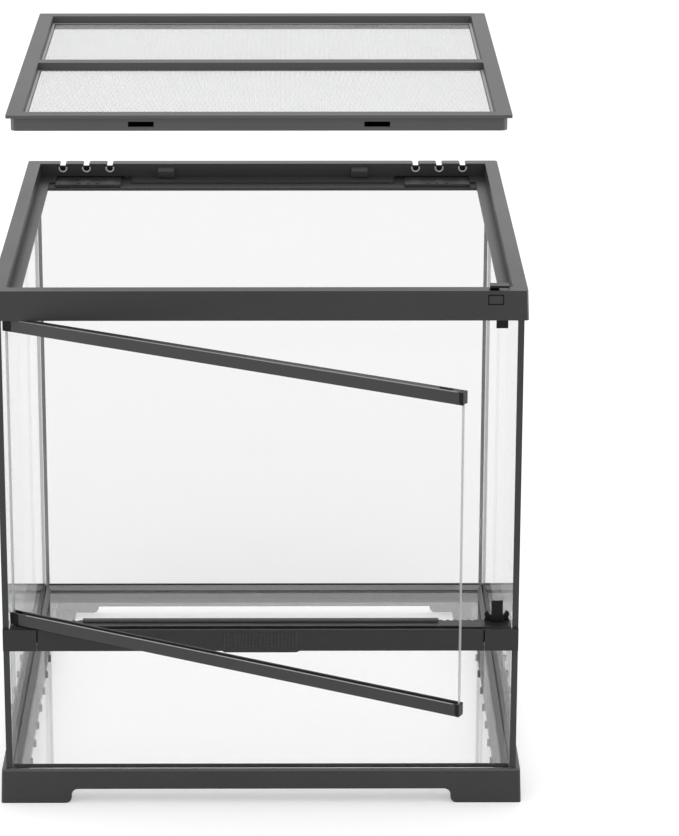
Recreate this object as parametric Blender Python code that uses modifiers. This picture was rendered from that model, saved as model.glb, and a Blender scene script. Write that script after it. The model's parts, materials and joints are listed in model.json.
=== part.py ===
"""A glass small-animal habitat with a side-hinged front door and a lift-off screen lid.

All sizes are in millimetres, with x to the right, y to the rear and z up. The cabinet is
modelled with its middle at x = 0, y = 0 and the floor at z = 0. The root empty then shifts it
so that the world's origin is under the middle of the whole object with its door ajar.
"""

import math

import bmesh
import bpy
from mathutils import Matrix, Vector

MM = 0.001
GRID = 0.001                   # every point lies on this grid
FIT = 0.3                      # gap between faces that touch on the real object
CORNER_R = 2.5                 # upright corners of the plinth and the top frame

# Glass box
BOX_HALF = 222.0               # outer faces of the side, rear and low front panes
PANE = 5.0
BOX_IN = BOX_HALF - PANE
PANE_END = BOX_IN - 2 * FIT    # panes that stand between the two side panes
GLASS_LOW = 23.0
GLASS_TOP = 450.0
LOW_PANE_TOP = 158.0

# Plinth
BASE_TOP = 31.0
BASE_FACE_TOP = 29.7
BASE_HALF_TOP = 226.3
BASE_HALF_FLOOR = 227.3
SHELF_TOP = GLASS_LOW - FIT
CUTOUT_HALF = 171.0
CUTOUT_RUN = 11.0
CUTOUT_TOP = 13.1
RIB_PITCH = 40.0

# Top frame
FRAME_TOP = 465.3
FRAME_LOW = 439.7
FRAME_HALF_TOP = 225.0
FRAME_HALF_LOW = 226.0
LIP_IN = 213.0                 # inner edge of the lip that surrounds the lid
INNER_WALL_LOW = 445.0
SEAT = 452.3                   # ledge that the lid stands on
SEAT_IN = 203.3
REAR_STEP_Y = 193.0
REAR_LEDGE_Y = 178.0
REAR_LEDGE_TOP = 450.6
BEAM_FLOOR_LOW = FRAME_LOW + 0.6
BEAM_FLOOR_TOP = 446.3

# Cable keyholes and their sliding shutters
KEYHOLE_X = 169.0
KEYHOLE_PITCH = 22.5
KEYHOLE_R = 3.9
KEYHOLE_Z = 461.0
KEYHOLE_SLOT = 2.5             # half width
KEYHOLE_FLARE = 1.2
SHUTTER_X = (-197.0, -135.0)
SHUTTER_TRAVEL = 9.5

# Vent rail
RAIL_FACE_Y = -226.5
RAIL_BACK_Y = -223.6
RAIL_LOW = 142.4
RAIL_TOP = 162.2
RAIL_SHELF = 163.4
FASCIA_HALF = 193.0
COMB_HALF = (156.0, 186.0)
COMB_PITCH = 6.0

# Door
HINGE_X = -209.0
HINGE_Y = -217.0
HINGE_PIN_R = 2.0
DOOR_END_X = 214.2
DOOR_HEEL_X = -215.0
DOOR_HALF_Y = 4.0              # half thickness of the rails
DOOR_GLASS_HALF = 2.0
GROOVE_HALF = 2.3
DOOR_TOP = 439.3
DOOR_LOW = 164.5
RAIL_H = 10.5
DOOR_AJAR = math.radians(28.5)

# Lock and catches
LOCK_X = 197.0
CATCH_X = 204.4

# Lid
LID_H = 14.0
LID_HALF = 210.0
SKIRT_HALF = 206.25
LID_INNER = 196.7
LID_WALL = 2.6
LID_CORNER_R = 1.5
SKIRT_CORNER_R = 5.5
LID_CLOSED_TOP = SEAT + FIT + LID_H
LID_LIFT = 145.7
SCREEN_DROP = 7.0
SCREEN_T = 0.6
SKIRT_SLOT_X = 98.0
HOOK_X = 92.7

# The open door reaches forward, so the whole object's middle lies in front of the cabinet's.
DOOR_REACH = (DOOR_END_X - HINGE_X) * math.sin(DOOR_AJAR) + DOOR_HALF_Y * math.cos(DOOR_AJAR)
ORIGIN_SHIFT_Y = (DOOR_REACH - HINGE_Y - BASE_HALF_FLOOR) / 2

COLOURS = {
    "plastic": (0.056, 0.056, 0.059, 1.0),
    "dark": (0.012, 0.012, 0.013, 1.0),
    "glass": (0.93, 0.97, 0.96, 1.0),
    "silicone": (0.09, 0.09, 0.09, 1.0),
    "mesh": (0.55, 0.56, 0.57, 1.0),
}
ROUGHNESS = {"plastic": 0.42, "dark": 0.5, "glass": 0.02, "silicone": 0.6, "mesh": 0.4}


# --- scene helpers -------------------------------------------------------------------------

def clear_scene():
    """Remove every object, so that the script can be run again."""
    for obj in list(bpy.data.objects):
        bpy.data.objects.remove(obj, do_unlink=True)


def new_collection(name):
    """Return a new collection linked to the scene."""
    coll = bpy.data.collections.new(name)
    bpy.context.scene.collection.children.link(coll)
    return coll


clear_scene()
PARTS = new_collection("glass_habitat")
CUTTERS = new_collection("cutters")


def new_material(name, kind):
    """Return a Principled material of one of the kinds in COLOURS."""
    mat = bpy.data.materials.new(name + "_material")
    mat.use_nodes = True
    shader = mat.node_tree.nodes["Principled BSDF"]
    shader.inputs["Base Color"].default_value = COLOURS[kind]
    shader.inputs["Roughness"].default_value = ROUGHNESS[kind]
    shader.inputs["Metallic"].default_value = 1.0 if kind == "mesh" else 0.0
    shader.inputs["Transmission Weight"].default_value = 1.0 if kind == "glass" else 0.0
    mat.diffuse_color = COLOURS[kind]
    return mat


def add_object(name, mesh, kind=None):
    """Link a mesh as a part of the given kind, or as a hidden cutter when kind is None."""
    obj = bpy.data.objects.new(name, mesh)
    if kind is None:
        CUTTERS.objects.link(obj)
        obj.hide_render = True
        obj.display_type = "WIRE"
    else:
        PARTS.objects.link(obj)
        mesh.materials.clear()
        mesh.materials.append(new_material(name, kind))
    return obj


def mesh_from(bm, name):
    """Turn a bmesh in millimetres into a mesh in metres with its faces pointing out.

    Each point is snapped to a fine grid, so that faces meant to be flat are exactly flat.
    """
    for vert in bm.verts:
        vert.co = [round(c / GRID) * GRID for c in vert.co]
    bmesh.ops.recalc_face_normals(bm, faces=bm.faces)
    if bm.calc_volume(signed=True) < 0:
        bmesh.ops.reverse_faces(bm, faces=bm.faces)
    bm.transform(Matrix.Scale(MM, 4))
    mesh = bpy.data.meshes.new(name)
    bm.to_mesh(mesh)
    bm.free()
    return mesh


def combine(target, tools, operation):
    """Cut or join each tool into the target with an exact Boolean."""
    for tool in tools:
        mod = target.modifiers.new(tool.name, "BOOLEAN")
        mod.object = tool
        mod.operation = operation
        tool.parent = target


def cut(target, *tools):
    """Cut the tools out of the target."""
    combine(target, tools, "DIFFERENCE")


def fuse(target, *tools):
    """Join the tools to the target."""
    combine(target, tools, "UNION")


# --- shapes --------------------------------------------------------------------------------

def box(name, x, y, z, kind=None):
    """Make a box from its (low, high) limits along each axis."""
    bm = bmesh.new()
    bmesh.ops.create_cube(bm, size=1.0)
    spans = [hi - lo for lo, hi in (x, y, z)]
    middle = Vector([(lo + hi) / 2 for lo, hi in (x, y, z)])
    bm.transform(Matrix.Translation(middle) @ Matrix.Diagonal((*spans, 1.0)))
    return add_object(name, mesh_from(bm, name), kind)


def rod(name, x, y, z, radius, kind=None, sides=20):
    """Make an upright cylinder at (x, y) between the two heights in z."""
    bm = bmesh.new()
    bmesh.ops.create_cone(bm, cap_ends=True, segments=sides, radius1=radius, radius2=radius,
                          depth=z[1] - z[0])
    bm.transform(Matrix.Translation((x, y, (z[0] + z[1]) / 2)))
    return add_object(name, mesh_from(bm, name), kind)


# For an extrusion along each axis: where the outline's two directions and the axis point.
PLANES = {
    "X": Matrix(((0, 0, 1, 0), (1, 0, 0, 0), (0, 1, 0, 0), (0, 0, 0, 1))),
    "Y": Matrix(((1, 0, 0, 0), (0, 0, -1, 0), (0, 1, 0, 0), (0, 0, 0, 1))),
    "Z": Matrix.Identity(4),
}


def extrusion(name, outline, axis, span, kind=None):
    """Extrude a closed outline along an axis.

    The outline's points are (y, z) for axis X, (x, z) for axis Y and (x, y) for axis Z.
    """
    curve = bpy.data.curves.new(name, "CURVE")
    curve.dimensions = "2D"
    curve.fill_mode = "BOTH"
    curve.extrude = (span[1] - span[0]) / 2
    spline = curve.splines.new("POLY")
    spline.points.add(len(outline) - 1)
    for point, (u, v) in zip(spline.points, outline):
        point.co = (u, v, 0.0, 1.0)
    spline.use_cyclic_u = True
    guide = bpy.data.objects.new(name + "_outline", curve)
    CUTTERS.objects.link(guide)
    bpy.context.view_layer.update()
    depsgraph = bpy.context.evaluated_depsgraph_get()
    flat = bpy.data.meshes.new_from_object(guide.evaluated_get(depsgraph))
    bpy.data.objects.remove(guide, do_unlink=True)

    bm = bmesh.new()
    bm.from_mesh(flat)
    bmesh.ops.remove_doubles(bm, verts=bm.verts, dist=0.001)
    along = Vector((0, 0, 0))
    along["XYZ".index(axis)] = (span[0] + span[1]) / 2
    bm.transform(Matrix.Translation(along) @ PLANES[axis])
    return add_object(name, mesh_from(bm, name), kind)


def square_ring(name, profile, kind=None):
    """Turn a profile of (half width, z) points in four steps, which makes a mitred ring."""
    mesh = bpy.data.meshes.new(name)
    points = [(half, half, z) for half, z in profile]
    edges = [(i, (i + 1) % len(points)) for i in range(len(points))]
    mesh.from_pydata(points, edges, [])
    guide = bpy.data.objects.new(name + "_profile", mesh)
    CUTTERS.objects.link(guide)
    screw = guide.modifiers.new("four sides", "SCREW")
    screw.steps = 4
    screw.render_steps = 4
    screw.use_merge_vertices = True
    screw.merge_threshold = 0.0001
    bpy.context.view_layer.update()
    depsgraph = bpy.context.evaluated_depsgraph_get()
    turned = bpy.data.meshes.new_from_object(guide.evaluated_get(depsgraph))
    bpy.data.objects.remove(guide, do_unlink=True)

    bm = bmesh.new()
    bm.from_mesh(turned)
    return add_object(name, mesh_from(bm, name), kind)


def round_corners(ring, radius, low, high):
    """Round the four upright outer corners of a ring.

    low and high are (half width, z) at the foot and the head of its outer faces, which may lean.
    """
    margin = 2.0
    steps = 5
    turn = [math.pi / 2 * i / steps for i in range(steps + 1)]
    outline = [(radius * (math.cos(a) - 1), radius * (math.sin(a) - 1)) for a in turn]
    outline += [(-radius, margin), (margin, margin), (margin, -radius)]
    lean = (high[0] - low[0]) / (high[1] - low[1])
    for i in range(4):
        corner = extrusion(f"{ring.name}_corner_{i}", outline, "Z",
                           (low[1] - margin, high[1] + margin))
        for vert in corner.data.vertices:
            half = low[0] * MM + lean * (vert.co.z - low[1] * MM)
            vert.co.x += half
            vert.co.y += half
        corner.rotation_euler.z = math.radians(90 * i)
        cut(ring, corner)


def both_sides(make):
    """Call make(side, sign) for the left and the right."""
    return [make("left", -1), make("right", 1)]


def across(sign, near, far):
    """Return the x limits of a piece that spans near to far on one side of the middle."""
    return tuple(sorted((sign * near, sign * far)))


# --- plinth --------------------------------------------------------------------------------

def foot_cutout_outline():
    """Outline of the gap between two feet: each end is a quarter arc, a step and another arc."""
    steps = 5
    bend = CUTOUT_RUN / 2
    lower, upper = [], []
    for i in range(steps + 1):
        angle = math.pi / 2 * i / steps
        along, rise = bend * math.sin(angle), bend * (1 - math.cos(angle))
        lower.append((CUTOUT_HALF - along, rise))
        upper.append((CUTOUT_HALF - CUTOUT_RUN + along, CUTOUT_TOP - rise))
    outline = [(CUTOUT_HALF, -2.0)] + lower + upper[::-1]
    return outline + [(-u, v) for u, v in reversed(outline)]


def make_base():
    """Plinth ring with its shelf, feet, cut-outs and inner ribs."""
    lip_in = BOX_HALF + 0.8
    shelf_in = SEAT_IN + 1.7
    profile = [
        (lip_in, BASE_TOP), (BASE_HALF_TOP - 1.4, BASE_TOP), (BASE_HALF_TOP, BASE_FACE_TOP),
        (BASE_HALF_FLOOR, 0.0), (BASE_HALF_FLOOR - 3.0, 0.0),
        (BASE_HALF_TOP - 2.9, SHELF_TOP - 3.0), (shelf_in + 2.5, SHELF_TOP - 3.0),
        (shelf_in + 2.5, CUTOUT_TOP + 0.9), (shelf_in, CUTOUT_TOP + 0.9),
        (shelf_in, SHELF_TOP), (lip_in, SHELF_TOP),
    ]
    base = square_ring("base_frame", profile, "plastic")
    round_corners(base, CORNER_R, (BASE_HALF_FLOOR, 0.0), (BASE_HALF_TOP, BASE_FACE_TOP))
    outline = foot_cutout_outline()
    reach = (-240.0, 240.0)
    cut(base, extrusion("cut_feet_front_rear", outline, "Y", reach),
        extrusion("cut_feet_sides", outline, "X", reach))
    for side, sign in (("left", -1), ("right", 1)):
        for end, fore in (("front", -1), ("rear", 1)):
            pad = box(f"foot_pad_{end}_{side}", across(sign, 188.0, BASE_HALF_FLOOR - 2.0),
                      across(fore, 188.0, BASE_HALF_FLOOR - 2.0), (0.0, 3.0))
            fuse(base, pad)
        for i in range(10):
            y = (i - 4.5) * RIB_PITCH
            rib = box(f"rib_{side}_{i}", across(sign, shelf_in - 2.6, shelf_in + 1.0),
                      (y - 1.0, y + 1.0), (CUTOUT_TOP + 1.9, SHELF_TOP - 1.0))
            fuse(base, rib)
    return base


# --- glass and silicone --------------------------------------------------------------------

def make_glass():
    """The five fixed panes."""
    ends = (-PANE_END, PANE_END)
    height = (GLASS_LOW, GLASS_TOP)
    panes = [
        box("bottom_glass", ends, ends, (GLASS_LOW, GLASS_LOW + PANE), "glass"),
        box("rear_glass", ends, (BOX_IN, BOX_HALF), height, "glass"),
        box("front_lower_glass", ends, (-BOX_HALF, -BOX_IN), (GLASS_LOW, LOW_PANE_TOP), "glass"),
    ]
    panes += both_sides(lambda side, sign: box(
        f"{side}_glass", across(sign, BOX_IN, BOX_HALF), (-BOX_HALF, BOX_HALF), height, "glass"))
    return panes


def make_silicone():
    """Beads in the rear corners, behind the low front pane and round the bottom pane."""
    leg = 4.2
    corner = BOX_IN - FIT
    floor = GLASS_LOW + PANE + FIT
    beads = []
    for side, sign in (("left", -1), ("right", 1)):
        for end, fore, top in (("rear", 1, INNER_WALL_LOW - FIT), ("front", -1, RAIL_LOW + 2.0)):
            outline = [(sign * corner, fore * corner), (sign * (corner - leg), fore * corner),
                       (sign * corner, fore * (corner - leg))]
            beads.append(extrusion(f"silicone_{end}_{side}", outline, "Z",
                                   (floor + leg + FIT, top), "silicone"))
    rim = PANE_END - FIT
    profile = [(rim, floor + leg), (rim, floor), (rim - leg, floor)]
    beads.append(square_ring("silicone_floor", profile, "silicone"))
    return beads


def make_edge_trims():
    """Dark strips on the front edges of the side panes."""
    return both_sides(lambda side, sign: box(
        f"{side}_edge_trim", across(sign, BOX_IN - 0.1, BOX_HALF + FIT),
        (-BOX_HALF - 1.3, -BOX_HALF - FIT), (BASE_TOP + 0.4, FRAME_LOW - 0.4), "plastic"))


# --- vent rail -----------------------------------------------------------------------------

def make_vent_rail():
    """Cross rail: a shelf over the low pane, a grip behind it and two end blocks."""
    front = -BOX_HALF - 1.2
    rear = -206.5
    under = RAIL_SHELF - 2.8
    grip_y = (-BOX_IN + 0.4, -BOX_IN + 2.8)
    outline = [
        (front, RAIL_SHELF), (front, under), (grip_y[0], under), (grip_y[0], RAIL_LOW + 3.6),
        (grip_y[1], RAIL_LOW + 3.6), (grip_y[1], under - 0.4), (rear, under + 0.3),
        (rear, RAIL_SHELF),
    ]
    rail = extrusion("vent_rail", outline, "X", (-PANE_END, PANE_END), "plastic")
    for side, sign in (("left", -1), ("right", 1)):
        block = box(f"rail_end_{side}", across(sign, FASCIA_HALF + FIT, BOX_HALF + FIT),
                    (RAIL_FACE_Y, RAIL_BACK_Y), (RAIL_LOW, RAIL_TOP))
        bridge = box(f"rail_bridge_{side}", across(sign, FASCIA_HALF + 1.0, PANE_END - 0.2),
                     (RAIL_BACK_Y - 0.6, -BOX_HALF - 0.4),
                     (LOW_PANE_TOP - 10.0, RAIL_SHELF - 0.5))
        fuse(rail, bridge, block)
        first, last = COMB_HALF
        for i in range(int((last - first) / COMB_PITCH)):
            x = sign * (first + COMB_PITCH * (i + 0.5))
            tooth_gap = rod(f"comb_{side}_{i}", x, rear, (under - 1.0, RAIL_SHELF + 1.0), 2.1,
                            sides=12)
            cut(rail, tooth_gap)
    for i in range(6):
        x = (i - 2.5) * 50.0
        slot = box(f"vent_slot_{i}", (x - 19.0, x + 19.0), (-211.6, -208.4),
                   (under - 1.0, RAIL_SHELF + 1.0))
        cut(rail, slot)
    intake = box("intake_slot", (-COMB_HALF[0] - 15.0, COMB_HALF[0] + 15.0),
                 (front - 1.0, front + 2.2), (under - 1.0, RAIL_SHELF + 1.0))
    socket = rod("lower_socket", HINGE_X, HINGE_Y, (under - 1.0, RAIL_SHELF + 1.0),
                 HINGE_PIN_R + 0.4)
    cut(rail, intake, socket)
    return rail


def make_vent_fascia():
    """Front plate of the rail, narrower at the top, with a thumb lip under its middle."""
    lip = 31.0
    waist = RAIL_LOW + 5.6
    right = [
        (lip + 2.5, RAIL_LOW), (FASCIA_HALF, RAIL_LOW), (FASCIA_HALF, waist),
        (FASCIA_HALF - 0.9, waist + 1.0), (FASCIA_HALF - 0.9, RAIL_TOP - 0.2),
    ]
    outline = [(lip, RAIL_LOW - 1.4)] + right
    outline += [(-x, z) for x, z in reversed(outline)]
    return extrusion("vent_fascia", outline, "Y", (RAIL_FACE_Y, RAIL_BACK_Y), "plastic")


def make_vent_cover():
    """Raised strip over the middle of the vent teeth."""
    low = RAIL_SHELF + FIT
    outline = [(-212.6, low), (-206.7, low), (-206.7, low + 1.6), (-211.4, low + 1.6)]
    return extrusion("vent_cover", outline, "X", (-154.0, 154.0), "plastic")


# --- top frame -----------------------------------------------------------------------------

def keyhole_outline(x):
    """Round hole with a slot up through the lip, whose top corners flare."""
    steps = 10
    start = math.asin(KEYHOLE_SLOT / KEYHOLE_R)
    right = []
    for i in range(steps + 1):
        angle = start + (math.pi - start) * i / steps
        right.append((KEYHOLE_R * math.sin(angle), KEYHOLE_Z + KEYHOLE_R * math.cos(angle)))
    mouth = [(KEYHOLE_SLOT + KEYHOLE_FLARE, FRAME_TOP + 2.0),
             (KEYHOLE_SLOT + KEYHOLE_FLARE, FRAME_TOP),
             (KEYHOLE_SLOT + 0.3 * KEYHOLE_FLARE, FRAME_TOP - 0.4 * KEYHOLE_FLARE),
             (KEYHOLE_SLOT, FRAME_TOP - KEYHOLE_FLARE)]
    half = mouth + right[:-1]
    bottom = [(0.0, KEYHOLE_Z - KEYHOLE_R)]
    return [(x + u, v) for u, v in half + bottom + [(-u, v) for u, v in reversed(half)]]


def make_top_frame():
    """Hollow ring over the panes, with the lid's seat inside and a deep ledge at the rear."""
    hollow_out = BOX_HALF + 0.6
    hollow_in = BOX_IN - 1.0
    profile = [
        (LIP_IN, FRAME_TOP), (FRAME_HALF_TOP, FRAME_TOP), (FRAME_HALF_LOW, FRAME_LOW),
        (hollow_out, FRAME_LOW), (hollow_out, FRAME_TOP - 3.0), (hollow_in, FRAME_TOP - 3.0),
        (hollow_in, INNER_WALL_LOW), (LIP_IN + 0.6, INNER_WALL_LOW), (LIP_IN + 0.6, SEAT - 3.0),
        (SEAT_IN, SEAT - 3.0), (SEAT_IN, SEAT), (LIP_IN, SEAT),
    ]
    frame = square_ring("top_frame", profile, "plastic")
    round_corners(frame, CORNER_R, (FRAME_HALF_LOW, FRAME_LOW), (FRAME_HALF_TOP, FRAME_TOP))
    ledge_x = (-SEAT_IN - 2.7, SEAT_IN + 2.7)
    fuse(frame,
         box("beam_floor", (-PANE_END, PANE_END), (-hollow_out - 0.6, -LIP_IN - 0.8),
             (BEAM_FLOOR_LOW, BEAM_FLOOR_TOP)),
         box("rear_ledge", ledge_x, (REAR_LEDGE_Y, REAR_STEP_Y + 2.0),
             (REAR_LEDGE_TOP - 3.0, REAR_LEDGE_TOP)),
         box("rear_step", ledge_x, (REAR_STEP_Y, SEAT_IN + 2.7), (REAR_LEDGE_TOP - 3.0, SEAT)))
    for side, sign in (("left", -1), ("right", 1)):
        collar = box(f"keyhole_collar_{side}", across(sign, KEYHOLE_X - 46.0, KEYHOLE_X + 32.0),
                     (hollow_in - 0.5, hollow_in + 2.4), (REAR_LEDGE_TOP + 2.9, FRAME_TOP - 2.5))
        fuse(frame, collar)
    for side, sign in (("left", -1), ("right", 1)):
        inner = min(abs(x) for x in SHUTTER_X) - SHUTTER_TRAVEL - 0.5
        outer = max(abs(x) for x in SHUTTER_X) + 0.5
        window = box(f"shutter_window_{side}", across(sign, inner, outer),
                     (REAR_STEP_Y - 2.0, BOX_HALF - 0.4), (REAR_LEDGE_TOP, REAR_LEDGE_TOP + 2.5))
        cut(frame, window)
        for i in (-1, 0, 1):
            outline = keyhole_outline(sign * KEYHOLE_X + i * KEYHOLE_PITCH)
            cut(frame, extrusion(f"keyhole_{side}_{i + 1}", outline, "Y", (206.0, 232.0)))
    cut(frame,
        rod("upper_socket", HINGE_X, HINGE_Y, (FRAME_LOW - 1.0, BEAM_FLOOR_TOP + 1.0),
            HINGE_PIN_R + 0.4),
        box("bolt_slot", (LOCK_X - 4.4, LOCK_X + 4.4), (-218.6, -215.0),
            (FRAME_LOW - 1.0, FRAME_TOP + 1.0)),
        box("cap_notch", (LOCK_X - 4.4, LOCK_X + 12.6), (-223.8, LIP_IN * -1 + 2.0),
            (FRAME_TOP - 1.4, FRAME_TOP + 1.0)),
        box("blank_mark", (LOCK_X - 5.0, LOCK_X + 7.0), (-230.0, -FRAME_HALF_TOP + 0.25),
            (FRAME_TOP - 11.6, FRAME_TOP - 4.0)))
    return frame


def make_lid_hooks():
    """Sloped hooks on the rear inner wall."""
    wall = LIP_IN - FIT
    low = SEAT + FIT
    outline = [(wall, low), (wall, 462.0), (wall - 1.2, 462.0), (207.2, 459.5), (207.2, low)]
    return both_sides(lambda side, sign: extrusion(
        f"lid_hook_{side}", outline, "X", across(sign, HOOK_X - 8.0, HOOK_X + 8.0), "plastic"))


def make_cable_slider(side, sign):
    """Shutter: a plate on the rear ledge and three upright fingers behind the keyholes."""
    plate = tuple(sorted(-sign * x for x in SHUTTER_X))
    low = REAR_LEDGE_TOP + FIT
    web_top = SEAT - 0.1
    finger_y = (218.9, 220.9)
    slider = box(f"cable_slider_{side}", plate, (REAR_LEDGE_Y + 1.0, REAR_STEP_Y - 0.6),
                 (low, low + 2.6), "plastic")
    fuse(slider, box(f"slider_web_{side}", (plate[0] + 0.5, plate[1] - 0.5),
                     (REAR_STEP_Y - 2.0, finger_y[1]), (low, web_top)))
    for i in (-1, 0, 1):
        x = sign * KEYHOLE_X + i * KEYHOLE_PITCH
        fuse(slider, box(f"finger_{side}_{i + 1}", (x - 4.6, x + 4.6), finger_y,
                         (low + 0.2, FRAME_TOP - 3.4)))
    for i in range(3):
        x = (plate[0] + plate[1]) / 2 + (i - 1) * 9.0
        fuse(slider, box(f"grip_{side}_{i}", (x - 1.2, x + 1.2),
                         (REAR_LEDGE_Y + 4.0, REAR_STEP_Y - 3.6), (low + 2.0, low + 3.4)))
    return slider


# --- catches and lock ----------------------------------------------------------------------

def make_catches():
    """Bodies and sprung tongues that meet the door's free edge, above and below."""
    front = HINGE_Y + DOOR_HALF_Y + 0.5
    tongue_y = (front, front + 1.6)
    seat = SEAT - 3.0 - FIT
    shelf = RAIL_SHELF + FIT
    upper = [(front, seat), (-205.0, seat), (-205.0, 436.0), (-209.2, 436.0),
             (-209.2, 444.4), (front, 444.4)]
    upper_base = extrusion("upper_catch_base", upper, "X", (CATCH_X - 5.4, CATCH_X + 5.4),
                           "dark")
    upper_tongue = box("upper_catch_tongue", (CATCH_X - 5.0, CATCH_X + 5.0), tongue_y,
                       (428.8, 444.0), "dark")

    half = 11.0
    wing = 3.0
    right = [(5.6, shelf + 5.0), (7.4, shelf + 7.6)]
    for i in range(5):
        angle = math.radians(110 - 40 * i)
        right.append((half - wing + wing * math.cos(angle),
                      shelf + 5.6 + wing * math.sin(angle)))
    right.append((half, shelf))
    outline = [(CATCH_X + x, z) for x, z in right]
    outline += [(CATCH_X - x, z) for x, z in reversed(right)]
    lower_base = extrusion("lower_catch_base", outline, "Y", (-209.6, -206.4), "dark")
    foot = box("lower_catch_foot", (CATCH_X - 5.4, CATCH_X + 5.4), (-212.4, -209.0),
               (shelf, shelf + 2.0))
    fuse(lower_base, foot)
    lower_tongue = box("lower_catch_tongue", (CATCH_X - 5.0, CATCH_X + 5.0), tongue_y,
                       (shelf + 2.4, 183.0), "dark")
    for i in (-1, 1):
        dimple = box(f"dimple_{i}", (CATCH_X + 3.9 * i - 1.1, CATCH_X + 3.9 * i + 1.1),
                     (front - 1.0, front + 0.8), (178.2, 180.4))
        cut(lower_tongue, dimple)
    return upper_base, lower_base, upper_tongue, lower_tongue


def make_lock():
    """Lock: a cap over the front beam and a flat bolt down through it."""
    lock = box("door_lock_bolt", (LOCK_X - 4.0, LOCK_X + 12.2), (-223.4, -213.6),
               (FRAME_TOP + 1.9, FRAME_TOP + 3.8), "dark")
    fuse(lock, box("bolt_stem", (LOCK_X - 4.0, LOCK_X + 4.0), (-218.2, -215.4),
                   (BEAM_FLOOR_LOW - 0.3, FRAME_TOP + 2.5)))
    return lock


# --- door ----------------------------------------------------------------------------------

def rail_outline(low, groove_up):
    """Section of a door rail: a block with the glass's groove in its top or its underside."""
    top = low + RAIL_H
    y = (HINGE_Y - DOOR_HALF_Y, HINGE_Y + DOOR_HALF_Y)
    g = (HINGE_Y - GROOVE_HALF, HINGE_Y + GROOVE_HALF)
    if groove_up:
        depth = low + 3.5
        return [(y[0], low), (y[1], low), (y[1], top), (g[1], top), (g[1], depth),
                (g[0], depth), (g[0], top), (y[0], top)]
    depth = top - 4.3
    return [(y[0], top), (y[0], low), (g[0], low), (g[0], depth), (g[1], depth), (g[1], low),
            (y[1], low), (y[1], top)]


def make_door():
    """The pane, its two channel rails, the hinge shoes and the end caps, all shut."""
    top_low = DOOR_TOP - RAIL_H
    glass = box("door_glass", (DOOR_HEEL_X + 1.0, DOOR_END_X - 1.3),
                (HINGE_Y - DOOR_GLASS_HALF, HINGE_Y + DOOR_GLASS_HALF),
                (DOOR_LOW + 3.9, DOOR_TOP - 4.7), "glass")
    shoe_end = DOOR_HEEL_X + 8.0
    cap_start = DOOR_END_X - 3.2
    door = [glass]
    for level, low, groove_up, pin in (
            ("upper", top_low, False, (DOOR_TOP - 1.0, BEAM_FLOOR_TOP)),
            ("lower", DOOR_LOW, True, (RAIL_SHELF - 2.3, DOOR_LOW + 1.0))):
        outline = rail_outline(low, groove_up)
        name = "door_top_rail" if level == "upper" else "door_bottom_rail"
        rail = extrusion(name, outline, "X", (shoe_end + FIT, cap_start - FIT), "plastic")
        shoe = extrusion(f"hinge_shoe_{level}", outline, "X", (DOOR_HEEL_X, shoe_end), "dark")
        fuse(shoe, rod(f"hinge_pin_{level}", HINGE_X, HINGE_Y, pin, HINGE_PIN_R))
        cap = extrusion(f"door_end_cap_{level}", outline, "X", (cap_start, DOOR_END_X), "dark")
        wall_x = (DOOR_END_X - 1.0, DOOR_END_X)
        wall_z = (low + 0.5, low + RAIL_H - 0.5)
        fuse(cap, box(f"cap_wall_{level}", wall_x, (HINGE_Y - 3.0, HINGE_Y + 3.0), wall_z))
        if level == "upper":
            cut(rail, box("bolt_pocket", (LOCK_X - 6.0, LOCK_X + 6.0), (-218.7, -214.9),
                          (DOOR_TOP - 3.1, DOOR_TOP + 1.0)))
        door += [rail, shoe, cap]
    return door


# --- lid -----------------------------------------------------------------------------------

def make_lid():
    """Screen lid in its closed place."""
    top = LID_CLOSED_TOP
    low = top - LID_H
    plate = top - LID_WALL
    wall_in = LID_INNER + LID_WALL
    skirt_in = SKIRT_HALF - LID_WALL
    profile = [
        (LID_INNER, top), (LID_HALF, top), (LID_HALF, plate), (wall_in, plate),
        (wall_in, top - SCREEN_DROP), (LID_INNER, top - SCREEN_DROP),
    ]
    frame = square_ring("lid_frame", profile, "plastic")
    round_corners(frame, LID_CORNER_R, (LID_HALF, plate), (LID_HALF, top))
    sunk = plate + LID_WALL / 2
    skirt = square_ring("lid_skirt", [(skirt_in, sunk), (SKIRT_HALF, sunk), (SKIRT_HALF, low),
                                      (skirt_in, low)])
    round_corners(skirt, SKIRT_CORNER_R, (SKIRT_HALF, low), (SKIRT_HALF, sunk))
    fuse(frame, skirt)
    half = (LID_HALF - LID_INNER) / 2
    web = half - 2.3
    under = top - LID_WALL + 0.2
    foot = top - SCREEN_DROP + 0.2
    bar = [(-half, top - 0.05), (half, top - 0.05), (half, foot), (web, foot), (web, under),
           (-web, under), (-web, foot), (-half, foot)]
    fuse(frame, extrusion("lid_crossbar", bar, "X", (-LID_INNER - 1.2, LID_INNER + 1.2)))
    for side, sign in (("left", -1), ("right", 1)):
        for end, fore in (("front", -1), ("rear", 1)):
            slot = box(f"skirt_slot_{end}_{side}",
                       across(sign, SKIRT_SLOT_X - 10.7, SKIRT_SLOT_X + 10.7),
                       across(fore, skirt_in - 1.0, SKIRT_HALF + 1.0), (top - 10.7, top - 6.2))
            cut(frame, slot)
    edge = wall_in + 2.0
    sheet_z = (top - SCREEN_DROP - FIT - SCREEN_T, top - SCREEN_DROP - FIT)
    front = box("lid_screen_front", (-edge, edge), (-edge, -0.4), sheet_z, "mesh")
    rear = box("lid_screen_rear", (-edge, edge), (0.4, edge), sheet_z, "mesh")
    return [frame, front, rear]


# --- assembly ------------------------------------------------------------------------------

def new_pivot(name, place):
    """Return an empty that stands on a joint's axis."""
    pivot = bpy.data.objects.new(name, None)
    pivot.location = Vector(place) * MM
    PARTS.objects.link(pivot)
    return pivot


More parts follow.
